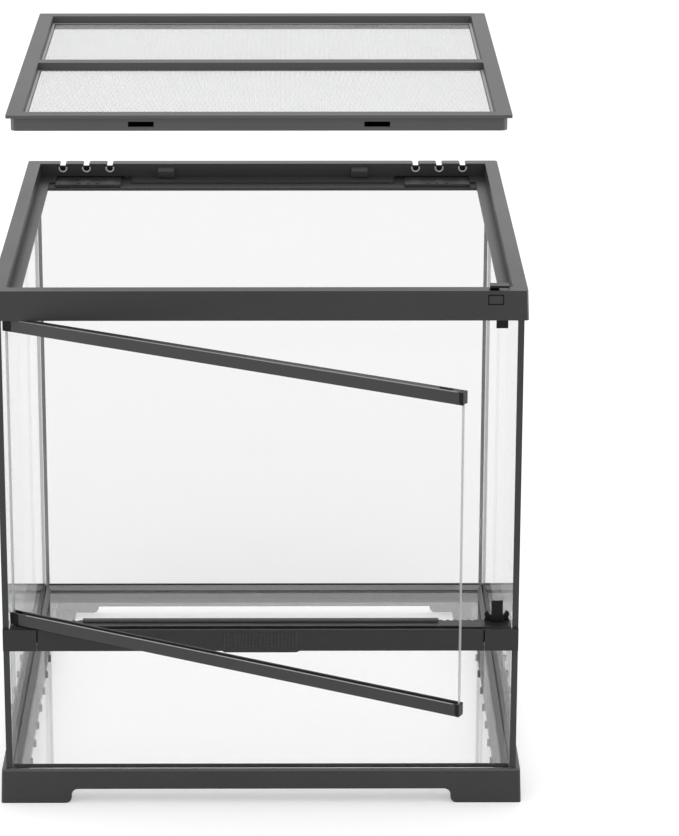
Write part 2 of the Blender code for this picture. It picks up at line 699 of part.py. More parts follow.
def hang(pieces, pivot):
    """Parent pieces to a pivot where they stand now."""
    keep = Matrix.Translation(-pivot.location)
    for piece in pieces:
        piece.parent = pivot
        piece.matrix_parent_inverse = keep


def assemble():
    """Build every piece, hang the moving ones on their axes and set the door and lid."""
    fixed = [make_base(), make_vent_rail(), make_vent_fascia(), make_vent_cover(),
             make_top_frame()]
    fixed += make_glass() + make_silicone() + make_edge_trims() + make_lid_hooks()
    upper_base, lower_base, upper_tongue, lower_tongue = make_catches()
    fixed += [upper_base, lower_base]

    tongue_y = HINGE_Y + DOOR_HALF_Y + 1.3
    pivots = {
        "door_axis": ((HINGE_X, HINGE_Y, DOOR_LOW), make_door()),
        "lid_axis": ((0.0, 0.0, LID_CLOSED_TOP), make_lid()),
        "lock_axis": ((LOCK_X, -216.8, FRAME_TOP), [make_lock()]),
        "upper_catch_axis": ((CATCH_X, tongue_y, 444.0), [upper_tongue]),
        "lower_catch_axis": ((CATCH_X, tongue_y, RAIL_SHELF + 2.7), [lower_tongue]),
    }
    for side, sign in (("left", -1), ("right", 1)):
        place = (sign * KEYHOLE_X, REAR_STEP_Y, REAR_LEDGE_TOP)
        pivots[f"cable_slider_axis_{side}"] = (place, [make_cable_slider(side, sign)])

    root = new_pivot("cabinet_origin", (0.0, 0.0, 0.0))
    hang(fixed, root)
    axes = {}
    for name, (place, pieces) in pivots.items():
        axes[name] = new_pivot(name, place)
        hang(pieces, axes[name])
        axes[name].parent = root
    axes["door_axis"].rotation_euler.z = -DOOR_AJAR
    axes["lid_axis"].location.z += LID_LIFT * MM
    root.location.y = ORIGIN_SHIFT_Y * MM
    bpy.context.view_layer.update()


assemble()
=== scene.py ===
"""Looks of a glass small-animal habitat with a side-hinged door and a lift-off screen lid.

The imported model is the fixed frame. Every plastic piece is a copy of its frame node with soft
edges, every pane gets arrised edges, and the lid gets real woven wire. Sizes are in metres.
"""

import json
import logging
import math
from dataclasses import dataclass, field
from enum import Enum
from typing import Any

import bmesh
import bpy
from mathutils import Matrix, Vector

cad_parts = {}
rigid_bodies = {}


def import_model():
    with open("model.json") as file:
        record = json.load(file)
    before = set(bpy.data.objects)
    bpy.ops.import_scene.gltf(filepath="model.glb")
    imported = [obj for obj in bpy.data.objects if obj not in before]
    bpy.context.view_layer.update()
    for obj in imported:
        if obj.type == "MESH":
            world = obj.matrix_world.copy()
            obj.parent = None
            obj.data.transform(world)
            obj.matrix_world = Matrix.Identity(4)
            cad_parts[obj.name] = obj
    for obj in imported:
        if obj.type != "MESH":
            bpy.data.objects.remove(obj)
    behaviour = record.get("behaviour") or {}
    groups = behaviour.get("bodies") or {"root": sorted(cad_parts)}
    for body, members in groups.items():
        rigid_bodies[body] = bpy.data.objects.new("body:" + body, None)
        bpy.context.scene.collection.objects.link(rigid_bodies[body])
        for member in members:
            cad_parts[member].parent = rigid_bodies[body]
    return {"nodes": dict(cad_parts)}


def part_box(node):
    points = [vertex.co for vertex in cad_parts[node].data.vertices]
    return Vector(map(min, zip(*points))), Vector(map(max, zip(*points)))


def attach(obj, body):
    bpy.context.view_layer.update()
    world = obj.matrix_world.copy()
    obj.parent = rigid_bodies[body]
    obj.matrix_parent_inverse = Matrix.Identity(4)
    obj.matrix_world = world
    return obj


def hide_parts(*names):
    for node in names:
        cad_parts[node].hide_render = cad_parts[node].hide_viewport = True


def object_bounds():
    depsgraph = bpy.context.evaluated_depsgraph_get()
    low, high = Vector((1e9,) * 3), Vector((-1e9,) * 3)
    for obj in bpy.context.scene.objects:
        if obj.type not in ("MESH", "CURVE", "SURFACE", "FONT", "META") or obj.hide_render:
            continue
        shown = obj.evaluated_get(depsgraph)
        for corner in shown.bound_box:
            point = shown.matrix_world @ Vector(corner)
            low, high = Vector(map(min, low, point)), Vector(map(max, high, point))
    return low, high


for leftover in list(bpy.data.objects):
    bpy.data.objects.remove(leftover, do_unlink=True)
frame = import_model()
CAD_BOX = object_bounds()
DOOR_TURN = math.radians(-28.5)

LOG = logging.getLogger("glass_habitat")
MM = 0.001
WELD = 0.002 * MM
FLAT_ANGLE = math.radians(0.6)
Colour = tuple[float, float, float]
Point = tuple[float, float, float]


class Body(Enum):
    """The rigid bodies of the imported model."""

    CABINET = "cabinet"
    DOOR = "door"
    LID = "lid"
    LOCK = "lock_bolt"
    UPPER_CATCH = "upper_catch"
    LOWER_CATCH = "lower_catch"
    LEFT_SHUTTER = "left_shutter"
    RIGHT_SHUTTER = "right_shutter"


class Slot(Enum):
    """The material slots of the record."""

    GREY = "grey_plastic"
    BLACK = "black_plastic"
    GLASS = "clear_glass"
    SILICONE = "silicone"
    WIRE = "screen_mesh"


class Shade(Enum):
    """One moulded charcoal plastic in lit and shaded copies, by what they are used on: darker
    copies as painted shade, a lighter one as painted light.
    """

    BODY = "charcoal_plastic"
    RAIL = "deep_charcoal_plastic"
    LID = "lid_charcoal_plastic"
    SHUTTER = "matt_charcoal_plastic"


# --- shader maths --------------------------------------------------------------------------

class Signal:
    """A number worked out by a node tree, which takes part in plain arithmetic."""

    def __init__(self, tree: bpy.types.NodeTree, socket: bpy.types.NodeSocket) -> None:
        """Wrap one output socket of a tree.

        Args:
            tree: The node tree that the socket belongs to.
            socket: The output socket that carries the number.
        """
        self.tree = tree
        self.socket = socket

    def _math(self, operation: str, left: Any, right: Any) -> "Signal":
        """Add one Math node.

        Args:
            operation: The Math node's operation.
            left: A number or a signal for the first socket.
            right: A number or a signal for the second socket.

        Returns:
            The node's result as a signal.
        """
        maths = self.tree.nodes.new("ShaderNodeMath")
        maths.operation = operation
        for socket, value in zip(maths.inputs, (left, right)):
            if isinstance(value, Signal):
                self.tree.links.new(value.socket, socket)
            else:
                socket.default_value = value
        return Signal(self.tree, maths.outputs[0])

    def __add__(self, other: Any) -> "Signal":
        """Return self + other."""
        return self._math("ADD", self, other)

    __radd__ = __add__

    def __sub__(self, other: Any) -> "Signal":
        """Return self - other."""
        return self._math("SUBTRACT", self, other)

    def __rsub__(self, other: Any) -> "Signal":
        """Return other - self."""
        return self._math("SUBTRACT", other, self)

    def __mul__(self, other: Any) -> "Signal":
        """Return self * other."""
        return self._math("MULTIPLY", self, other)

    __rmul__ = __mul__

    def __pow__(self, other: Any) -> "Signal":
        """Return self raised to other."""
        return self._math("POWER", self, other)


class Recipe:
    """One material's node tree, filled node by node."""

    def __init__(self, name: str) -> None:
        """Start an empty material.

        Args:
            name: The material's name.
        """
        self.material = bpy.data.materials.new(name)
        self.material.use_nodes = True
        self.tree = self.material.node_tree
        self.tree.nodes.clear()

    def node(self, kind: str, settings: dict[str, Any] | None = None,
             **sockets: Any) -> bpy.types.Node:
        """Add any node.

        Args:
            kind: The node's type.
            settings: Its properties, which are set before the sockets.
            **sockets: A value, socket or signal for each input, named with _ for a space.

        Returns:
            The new node.
        """
        node = self.tree.nodes.new(kind)
        for name, value in (settings or {}).items():
            setattr(node, name, value)
        for name, value in sockets.items():
            fitting = [s for s in node.inputs
                       if s.enabled and s.identifier.replace(" ", "_") == name]
            socket = fitting[0] if fitting else node.inputs[name.replace("_", " ")]
            if isinstance(value, Signal):
                value = value.socket
            if isinstance(value, bpy.types.NodeSocket):
                self.tree.links.new(value, socket)
            else:
                socket.default_value = value
        return node

    def signal(self, socket: bpy.types.NodeSocket) -> Signal:
        """Return an output socket as a signal."""
        return Signal(self.tree, socket)

    def noise(self, scale: float, detail: float = 2.0) -> Signal:
        """Add a noise over the piece's own space.

        Args:
            scale: Cells to the metre.
            detail: Octaves.

        Returns:
            The noise, from 0 to 1.
        """
        place = self.node("ShaderNodeTexCoord").outputs["Object"]
        made = self.node("ShaderNodeTexNoise", Vector=place, Scale=scale, Detail=detail)
        return self.signal(made.outputs[0])

    def blend(self, factor: Signal, low: Colour, high: Colour) -> bpy.types.NodeSocket:
        """Mix two colours by a signal.

        Args:
            factor: The share of the second colour.
            low: The first colour.
            high: The second colour.

        Returns:
            The mixed colour's socket.
        """
        mix = self.node("ShaderNodeMix", {"data_type": "RGBA"}, Factor_Float=factor,
                        A_Color=(*low, 1.0), B_Color=(*high, 1.0))
        return [s for s in mix.outputs if s.enabled][0]

    def output(self, shader: bpy.types.NodeSocket) -> bpy.types.Material:
        """Join the last shader to the output and return the material."""
        self.node("ShaderNodeOutputMaterial", Surface=shader)
        return self.material


# --- finishes ------------------------------------------------------------------------------

@dataclass(frozen=True)
class MouldedPlastic:
    """Injection-moulded plastic with a fine spark texture and a satin sheen."""

    name: str
    tone: Colour
    roughness: float = 0.40
    grain: float = 0.10
    grain_scale: float = 2600.0
    drift: float = 0.14
    shine: float = 0.5
    drift_scale: float = 9.0
    grain_depth: float = 0.05 * MM
    broad_change: float = 0.10
    fine_change: float = 0.08

    def material(self) -> bpy.types.Material:
        """Build the material.

        Returns:
            The finished material.
        """
        recipe = Recipe(self.name)
        broad = recipe.noise(self.drift_scale, 3.0)
        fine = recipe.noise(self.grain_scale, 1.0)
        low = tuple(c * (1 - self.drift) for c in self.tone)
        high = tuple(c * (1 + self.drift) for c in self.tone)
        bump = recipe.node("ShaderNodeBump", Strength=self.grain,
                           Distance=self.grain_depth, Height=fine)
        shader = recipe.node(
            "ShaderNodeBsdfPrincipled",
            Base_Color=recipe.blend(broad, low, high),
            Roughness=((broad - 0.5) * self.broad_change + (fine - 0.5) * self.fine_change
                       + self.roughness),
            Normal=bump.outputs["Normal"], Specular_IOR_Level=self.shine)
        return recipe.output(shader.outputs[0])


@dataclass(frozen=True)
class FloatGlass:
    """A pane's clear face: it passes a faint tint and mirrors more at a slant."""

    name: str
    pass_share: float = 0.96
    facing_mirror: float = 0.004
    slant_mirror: float = 1.0
    slant_power: float = 5.0
    roughness: float = 0.01

    def material(self) -> bpy.types.Material:
        """Build the material.

        Returns:
            The finished material.
        """
        recipe = Recipe(self.name)
        slant = recipe.signal(recipe.node("ShaderNodeLayerWeight", Blend=0.5)
                              .outputs["Facing"])
        share = (slant ** self.slant_power) * self.slant_mirror * (1.0 - self.facing_mirror)
        share = share + self.facing_mirror
        tint = (self.pass_share, self.pass_share, self.pass_share, 1.0)
        clear = recipe.node("ShaderNodeBsdfTransparent", Color=tint)
        gloss = recipe.node("ShaderNodeBsdfGlossy", Color=(1.0, 1.0, 1.0, 1.0),
                            Roughness=self.roughness)
        mix = recipe.node("ShaderNodeMixShader", Fac=share, Shader=clear.outputs[0],
                          Shader_001=gloss.outputs[0])
        return recipe.output(mix.outputs[0])


@dataclass(frozen=True)
class GroundEdge:
    """A pane's ground edge: cloudy, with the glass's own grey depth."""

    name: str
    tone: Colour = (0.34, 0.355, 0.355)
    see_through: float = 0.22
    cloud_scale: float = 60.0
    darkest: float = 0.85
    clear_tint: Colour = (0.90, 0.91, 0.91)

    def material(self) -> bpy.types.Material:
        """Build the material.

        Returns:
            The finished material.
        """
        recipe = Recipe(self.name)
        cloud = recipe.noise(self.cloud_scale, 3.0)
        low = tuple(c * self.darkest for c in self.tone)
        face = recipe.node("ShaderNodeBsdfPrincipled",
                           Base_Color=recipe.blend(cloud, low, self.tone),
                           Roughness=cloud * 0.2 + 0.15)
        clear = recipe.node("ShaderNodeBsdfTransparent", Color=(*self.clear_tint, 1.0))
        mix = recipe.node("ShaderNodeMixShader", Fac=1.0 - self.see_through,
                          Shader=clear.outputs[0], Shader_001=face.outputs[0])
        return recipe.output(mix.outputs[0])


@dataclass(frozen=True)
class BrightWire:
    """Drawn wire with a soft metal gloss."""

    name: str
    tone: Colour = (0.45, 0.455, 0.46)
    patch_scale: float = 25.0
    darkest: float = 0.85
    metallic: float = 0.85
    roughness: float = 0.32

    def material(self) -> bpy.types.Material:
        """Build the material.

        Returns:
            The finished material.
        """
        recipe = Recipe(self.name)
        shade = recipe.noise(self.patch_scale, 2.0)
        low = tuple(c * self.darkest for c in self.tone)
        shader = recipe.node("ShaderNodeBsdfPrincipled",
                             Base_Color=recipe.blend(shade, low, self.tone),
                             Metallic=self.metallic, Roughness=shade * 0.15 + self.roughness)
        return recipe.output(shader.outputs[0])


@dataclass(frozen=True)
class Sealant:
    """Smooth dark silicone with a wet edge."""

    name: str
    tone: Colour = (0.070, 0.070, 0.071)
    ripple_scale: float = 220.0
    ripple_depth: float = 0.3 * MM
    brightest: float = 1.6
    roughness: float = 0.28

    def material(self) -> bpy.types.Material:
        """Build the material.

        Returns:
            The finished material.
        """
        recipe = Recipe(self.name)
        ripple = recipe.noise(self.ripple_scale, 2.0)
        bump = recipe.node("ShaderNodeBump", Strength=0.2, Distance=self.ripple_depth,
                           Height=ripple)
        high = tuple(c * self.brightest for c in self.tone)
        shader = recipe.node("ShaderNodeBsdfPrincipled",
                             Base_Color=recipe.blend(ripple, self.tone, high),
                             Roughness=ripple * 0.15 + self.roughness,
                             Normal=bump.outputs["Normal"])
        return recipe.output(shader.outputs[0])


@dataclass(frozen=True)
class StudioFloor:
    """Plain pale studio floor with a glow of its own, which lightens its shadows."""

    name: str
    tone: Colour = (0.84, 0.84, 0.84)
    glow: float = 0.31

    def material(self) -> bpy.types.Material:
        """Build the material.

        Returns:
            The finished material.
        """
        recipe = Recipe(self.name)
        paint = recipe.node("ShaderNodeBsdfDiffuse", Color=(*self.tone, 1.0))
        lamp = recipe.node("ShaderNodeEmission", Strength=self.glow)
        both = recipe.node("ShaderNodeAddShader", Shader=paint.outputs[0],
                           Shader_001=lamp.outputs[0])
        return recipe.output(both.outputs[0])


class Finishes:
    """Every material of the habitat, made once."""

    def __init__(self) -> None:
        """Make the materials."""
        self.shades = {
            Shade.BODY: MouldedPlastic(Shade.BODY.value, (0.0350, 0.0350, 0.0360),
                                       shine=0.25).material(),
            # the vent rail's copy, darker: painted shade
            Shade.RAIL: MouldedPlastic(Shade.RAIL.value, (0.013, 0.013, 0.0135),
                                       shine=0.35).material(),
            # the lid's copy, lighter: painted light
            Shade.LID: MouldedPlastic(Shade.LID.value, (0.084, 0.084, 0.085), 0.45,
                                      shine=0.14).material(),
            # the shutters' copy, darker: painted shade
            Shade.SHUTTER: MouldedPlastic(Shade.SHUTTER.value, (0.0215, 0.0215, 0.0225), 0.5,
                                          shine=0.2).material(),
        }
        self.black = MouldedPlastic("black_plastic", (0.006, 0.006, 0.0065), 0.34,
                                    shine=0.16).material()
        # near-black matt plastic used as painted shade: the sheets behind the lid's slots and
        # the lines round the blank recess
        self.painted_shade = MouldedPlastic("hollow_black", (0.001, 0.001, 0.001), 0.9,
                                     shine=0.0).material()
        self.panes = {
            "rear_glass": FloatGlass("rear_pane_glass", 0.897).material(),
            "left_glass": FloatGlass("side_pane_glass", 0.911, 0.004, 0.85).material(),
            "door_glass": FloatGlass("door_pane_glass", 0.997, 0.0).material(),
            "front_lower_glass": FloatGlass("front_pane_glass", 0.957, 0.0).material(),
            "bottom_glass": FloatGlass("bottom_pane_glass", 0.998, 0.07).material(),
        }
        self.panes["right_glass"] = self.panes["left_glass"]
        self.edge = GroundEdge("ground_glass_edge").material()
        self.clear_edge = GroundEdge("polished_glass_edge", (0.70, 0.71, 0.71), 0.86).material()
        # paler plastic for the strips on the door rails' front edges: a painted highlight
        self.lip = MouldedPlastic("rubbed_lip", (0.25, 0.25, 0.252), 0.36).material()
        # pale finish of the lid screens' binding strips, also used for the painted highlights in
        # the cable holes
        self.collar = MouldedPlastic("pale_rubber", (0.52, 0.52, 0.52), 0.5).material()
        self.silicone = Sealant("silicone_sealant").material()
        self.wire = BrightWire("screen_wire").material()
        self.floor = StudioFloor("studio_floor").material()


# --- meshes --------------------------------------------------------------------------------

def link(name: str, mesh: bpy.types.Mesh, *materials: bpy.types.Material) -> bpy.types.Object:
    """Put a mesh in the scene as a new object.

    Args:
        name: The object's name.
        mesh: Its mesh, in place.
        *materials: The materials of its slots.

    Returns:
        The new object.
    """
    piece = bpy.data.objects.new(name, mesh)
    bpy.context.scene.collection.objects.link(piece)
    mesh.materials.clear()
    for material in materials:
        mesh.materials.append(material)
    return piece


def settle(piece: bpy.types.Object) -> bpy.types.Object:
    """Turn a piece's modifiers into its plain mesh.

    Args:
        piece: An object with live modifiers.

    Returns:
        The same object.
    """
    bpy.context.view_layer.update()
    graph = bpy.context.evaluated_depsgraph_get()
    made = bpy.data.meshes.new_from_object(piece.evaluated_get(graph),
                                           preserve_all_data_layers=True, depsgraph=graph)
    made.name = piece.name
    piece.modifiers.clear()
    piece.data = made
    return piece


def merged_copy(node: str) -> bpy.types.Mesh:
    """Copy a frame node's loose triangles as one closed mesh with flat faces joined.

    Args:
        node: The frame node's name.

    Returns:
        The new mesh.
    """
    bm = bmesh.new()
    bm.from_mesh(frame["nodes"][node].data)
    bmesh.ops.remove_doubles(bm, verts=bm.verts, dist=WELD)
    bmesh.ops.dissolve_limit(bm, angle_limit=FLAT_ANGLE, verts=bm.verts,
                             edges=bm.edges)
    mesh = bpy.data.meshes.new(f"{node}_copy")
    bm.to_mesh(mesh)
    bm.free()
    return mesh


@dataclass
class SoftShell:
    """A moulded piece: its frame node's shape with every outer edge slightly rounded."""

    node: str
    body: Body
    slot: Slot
    material: bpy.types.Material
    edge: float = 0.35 * MM
    crease: float = math.radians(32)

    def build(self) -> bpy.types.Object:
        """Make the piece and let it stand for its frame node.

        Returns:
            The new piece.
        """
        piece = link(f"{self.node}_moulded", merged_copy(self.node), self.material)
        bevel = piece.modifiers.new("soft edges", "BEVEL")
        bevel.width = self.edge
        bevel.segments = 2
        bevel.limit_method = "ANGLE"
        bevel.angle_limit = self.crease
        bevel.use_clamp_overlap = True
        weighted = piece.modifiers.new("flat faces", "WEIGHTED_NORMAL")
        weighted.keep_sharp = True
        piece.data.shade_smooth()
        settle(piece)
        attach(piece, self.body.value)
        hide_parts(self.node)
        LOG.info("%s: %d faces", piece.name, len(piece.data.polygons))
        return piece


@dataclass
class CornerBead:
    """The narrow line of sealant that shows in a rear corner of the glass box."""

    node: str
    finishes: Finishes
    width: float = 3.2 * MM

    def build(self) -> bpy.types.Object:
        """Draw the bead in against the side pane and let it stand for its frame node.

        Returns:
            The new bead.
        """
        mesh = merged_copy(self.node)
        low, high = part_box(self.node)
        wall = low.x if low.x < 0 else high.x
        share = self.width / (high.x - low.x)
        for vertex in mesh.vertices:
            vertex.co.x = wall + (vertex.co.x - wall) * share
        bead = link(f"{self.node}_line", mesh, self.finishes.silicone)
        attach(bead, Body.CABINET.value)
        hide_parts(self.node)
        LOG.info("%s: %d faces", bead.name, len(mesh.polygons))
        return bead


@dataclass
class Pane:
    """A sheet of glass with arrised edges, polished clear or ground cloudy."""

    node: str
    body: Body
    finishes: Finishes
    arris: float = 0.5 * MM
    polished: bool = True
    face_share: float = 0.5

    def build(self) -> bpy.types.Object:
        """Make the pane and let it stand for its frame node.

        Returns:
            The new piece.
        """
        piece = link(f"{self.node}_pane", merged_copy(self.node), self.finishes.panes[self.node],
                     self.finishes.clear_edge if self.polished else self.finishes.edge)
        bevel = piece.modifiers.new("arris", "BEVEL")
        bevel.width = self.arris
        bevel.segments = 1
        bevel.limit_method = "ANGLE"
        settle(piece)
        largest = max(face.area for face in piece.data.polygons)
        for face in piece.data.polygons:
            face.material_index = 0 if face.area > self.face_share * largest else 1
        piece.visible_shadow = False
        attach(piece, self.body.value)
        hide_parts(self.node)
        LOG.info("%s: %d faces", piece.name, len(piece.data.polygons))
        return piece


def bar(name: str, start: Vector, end: Vector, across: Vector, up: Vector,
        material: bpy.types.Material) -> bpy.types.Object:
    """Make a straight bar with chamfered long edges.

    Args:
        name: The new piece's name.
        start: The middle of one end.
        end: The middle of the other end.
        across: Half the bar's width, as a vector.
        up: Half the bar's height, as a vector.
        material: The bar's material.

    Returns:
        The new piece, in place.
    """
    u, v = 0.8, 0.7
    outline = ((-1.0, -v), (-u, -1.0), (u, -1.0), (1.0, -v),
               (1.0, v), (u, 1.0), (-u, 1.0), (-1.0, v))
    bm = bmesh.new()
    ends = [[bm.verts.new(centre + across * side + up * rise) for side, rise in outline]
            for centre in (start, end)]
    for i in range(len(outline)):
        j = (i + 1) % len(outline)
        bm.faces.new((ends[0][i], ends[0][j], ends[1][j], ends[1][i]))
    bm.faces.new(ends[0])
    bm.faces.new(ends[1])
    bmesh.ops.recalc_face_normals(bm, faces=bm.faces)
    mesh = bpy.data.meshes.new(name)
    bm.to_mesh(mesh)
    bm.free()
    return link(name, mesh, material)


def fit(piece: bpy.types.Object, body: Body) -> bpy.types.Object:
    """Make a new piece ride on a body.

    Args:
        piece: The new piece.
        body: The body that it moves with.

    Returns:
        The same piece.
    """
    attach(piece, body.value)
    LOG.info("%s: %d faces", piece.name, len(piece.data.polygons))
    return piece


# --- geometry nodes ------------------------------------------------------------------------

class Graph:
    """A geometry node tree with named inputs."""

    def __init__(self, name: str) -> None:
        """Start an empty tree.

        Args:
            name: The tree's name.
        """
        self.tree = bpy.data.node_groups.new(name, "GeometryNodeTree")
        self.tree.interface.new_socket("Geometry", in_out="OUTPUT",
                                       socket_type="NodeSocketGeometry")
        self.entry = self.tree.nodes.new("NodeGroupInput")

    def size(self, name: str, kind: str = "NodeSocketFloat") -> Signal:
        """Add a named input.

        Args:
            name: The input's name.
            kind: Its socket type.

        Returns:
            The input as a signal.
        """
        self.tree.interface.new_socket(name, in_out="INPUT", socket_type=kind)
        return Signal(self.tree, self.entry.outputs[name])

    def node(self, kind: str, settings: dict[str, Any] | None = None,
             **sockets: Any) -> Signal:
        """Add any node.

        Args:
            kind: The node's type.
            settings: Its properties, which are set before the sockets.
            **sockets: A value, signal or list of signals for each input.

        Returns:
            The node's first output that is in use.
        """
        node = self.tree.nodes.new(kind)
        for name, value in (settings or {}).items():
            setattr(node, name, value)
        for name, value in sockets.items():
            label = name.replace("_", " ")
            socket = [s for s in node.inputs if s.enabled and s.name == label][0]
            for one in value if isinstance(value, list) else [value]:
                if isinstance(one, Signal):
                    self.tree.links.new(one.socket, socket)
                else:
                    socket.default_value = one
        return Signal(self.tree, [s for s in node.outputs if s.enabled][0])

    def vector(self, x: Any = 0.0, y: Any = 0.0, z: Any = 0.0) -> Signal:
        """Join three numbers or signals to a vector."""
        return self.node("ShaderNodeCombineXYZ", X=x, Y=y, Z=z)

    def finish(self, shape: Signal, material: bpy.types.Material) -> bpy.types.NodeTree:
        """Realize the instances, set the material and close the tree.

        Args:
            shape: The geometry to put out.
            material: The material of all of it.

        Returns:
            The finished tree.
        """
        real = self.node("GeometryNodeRealizeInstances", Geometry=shape)
        dressed = self.node("GeometryNodeSetMaterial", Geometry=real, Material=material)
        out = self.tree.nodes.new("NodeGroupOutput")
        self.tree.links.new(dressed.socket, out.inputs[0])
        return self.tree


def grow(name: str, tree: bpy.types.NodeTree, sizes: dict[str, Any], place: Vector,
         material: bpy.types.Material) -> bpy.types.Object:
    """Run a geometry node tree once and keep its mesh.

    Args:
        name: The new piece's name.
        tree: The tree to run.
        sizes: A value for each named input.
        place: Where the tree's origin stands.
        material: The piece's material.

    Returns:
        The new piece, in place.
    """
    piece = link(name, bpy.data.meshes.new(name))
    run = piece.modifiers.new("grow", "NODES")
    run.node_group = tree
    for item in tree.interface.items_tree:
        if item.in_out == "INPUT" and item.name in sizes:
            run[item.identifier] = sizes[item.name]
    settle(piece)
    for vertex in piece.data.vertices:
        vertex.co += place
    piece.data.materials.clear()
    piece.data.materials.append(material)
    return piece


@dataclass
class WovenScreen:
    """One panel of plain-woven wire: straight warp and a weft that passes over and under."""

    node: str
    finishes: Finishes
    pitch: float = 2.2 * MM
    wire: float = 0.15 * MM
    inset: float = 0.8 * MM
    strip: tuple[float, float] = (4.4 * MM, 6.6 * MM)
    strip_rise: float = 0.5 * MM
    seam: tuple[float, float] = (6.7 * MM, 7.4 * MM)
    seam_rise: float = 0.3 * MM
    sink: float = 0.1 * MM

    def tree(self) -> bpy.types.NodeTree:
        """Build the weave's tree.

        Returns:
            The geometry node tree.
        """
        graph = Graph("woven_screen")
        pitch, wire = graph.size("Pitch"), graph.size("Wire Radius")
        width, depth = graph.size("Width"), graph.size("Depth")
        columns = graph.size("Columns", "NodeSocketInt")
        pairs = graph.size("Row Pairs", "NodeSocketInt")
        left, near = width * -0.5, depth * -0.5
        index = graph.node("GeometryNodeInputIndex")
        side = graph.node("ShaderNodeMath", {"operation": "PINGPONG"}, Value=index)
        side.socket.node.inputs[1].default_value = 1.0
        ring = graph.node("GeometryNodeCurvePrimitiveCircle", Resolution=3, Radius=wire)
        layers = []
        for row, turn in ((0.0, 1.0), (1.0, -1.0)):
            line = graph.node("GeometryNodeMeshLine", Count=columns,
                              Start_Location=graph.vector(x=left),
                              Offset=graph.vector(x=pitch))
            lift = (side * 2.0 - 1.0) * (wire * (2.0 * turn))
            waved = graph.node("GeometryNodeSetPosition", Geometry=line,
                               Offset=graph.vector(z=lift))
            path = graph.node("GeometryNodeMeshToCurve", Mesh=waved)
            strand = graph.node("GeometryNodeCurveToMesh", Curve=path, Profile_Curve=ring,
                                Fill_Caps=True)
            rows = graph.node("GeometryNodeMeshLine", Count=pairs,
                              Start_Location=graph.vector(y=near + pitch * (row + 0.5)),
                              Offset=graph.vector(y=pitch * 2.0))
            layers.append(graph.node("GeometryNodeInstanceOnPoints", Points=rows,
                                     Instance=strand))
        straight = graph.node("GeometryNodeCurvePrimitiveLine", Start=graph.vector(y=near),
                              End=graph.vector(y=near * -1.0))
        square = graph.node("GeometryNodeCurvePrimitiveCircle", Resolution=4, Radius=wire)
        warp = graph.node("GeometryNodeCurveToMesh", Curve=straight, Profile_Curve=square,
                          Fill_Caps=True)
        posts = graph.node("GeometryNodeMeshLine", Count=columns,
                           Start_Location=graph.vector(x=left), Offset=graph.vector(x=pitch))
        layers.append(graph.node("GeometryNodeInstanceOnPoints", Points=posts,
                                 Instance=warp))
        return graph.finish(graph.node("GeometryNodeJoinGeometry", Geometry=layers),
                            self.finishes.wire)

    def build(self) -> list[bpy.types.Object]:
        """Weave the panel and bind its border.

        Returns:
            The woven panel and its binding.
        """
        low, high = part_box(self.node)
        middle = (low + high) / 2
        width = high.x - low.x - 2 * self.inset
        depth = high.y - low.y - 2 * self.inset
        columns = int(width / self.pitch) + 1
        pairs = int(depth / self.pitch / 2)
        sizes = {"Pitch": self.pitch, "Wire Radius": self.wire, "Columns": columns,
                 "Row Pairs": pairs, "Width": (columns - 1) * self.pitch,
                 "Depth": pairs * 2 * self.pitch}
        screen = grow(f"{self.node}_weave", self.tree(), sizes, middle, self.finishes.wire)
        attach(screen, Body.LID.value)
        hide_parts(self.node)
        LOG.info("%s: %d faces", screen.name, len(screen.data.polygons))
        return [screen, *self.binding(low, high)]

    def binding(self, low: Vector, high: Vector) -> list[bpy.types.Object]:
        """Make the pale strip that presses the wire into its groove, and its dark seam.

        Args:
            low: The panel's lowest corner.
            high: The panel's highest corner.

        Returns:
            The strip and the seam.
        """
        return [self.loop("strip", low, high, self.strip, self.strip_rise,
                          self.finishes.collar),
                self.loop("seam", low, high, self.seam, self.seam_rise,
                          self.finishes.black)]

    def loop(self, label: str, low: Vector, high: Vector, reach: tuple[float, float],
             rise: float, material: bpy.types.Material) -> bpy.types.Object:
        """Make a flat square ring on the panel.

        Args:
            label: The end of the piece's name.
            low: The panel's lowest corner.
            high: The panel's highest corner.
            reach: How far inside the panel's edge the ring starts and ends.
            rise: The ring's height over the panel.
            material: The ring's material.

        Returns:
            The ring.
        """
        bm = bmesh.new()
        rings = []
        for inset, z in ((reach[0], high.z + rise), (reach[1], high.z + rise),
                         (reach[1], high.z - self.sink), (reach[0], high.z - self.sink)):
            rings.append([bm.verts.new((x, y, z)) for x, y in (
                (low.x + inset, low.y + inset), (high.x - inset, low.y + inset),
                (high.x - inset, high.y - inset), (low.x + inset, high.y - inset))])
        for i, ring in enumerate(rings):
            following = rings[(i + 1) % 4]
            for j in range(4):
                k = (j + 1) % 4
                bm.faces.new((ring[j], ring[k], following[k], following[j]))
        bmesh.ops.recalc_face_normals(bm, faces=bm.faces)
        mesh = bpy.data.meshes.new(f"{self.node}_{label}")
        bm.to_mesh(mesh)
        bm.free()
        return fit(link(mesh.name, mesh, material), Body.LID)


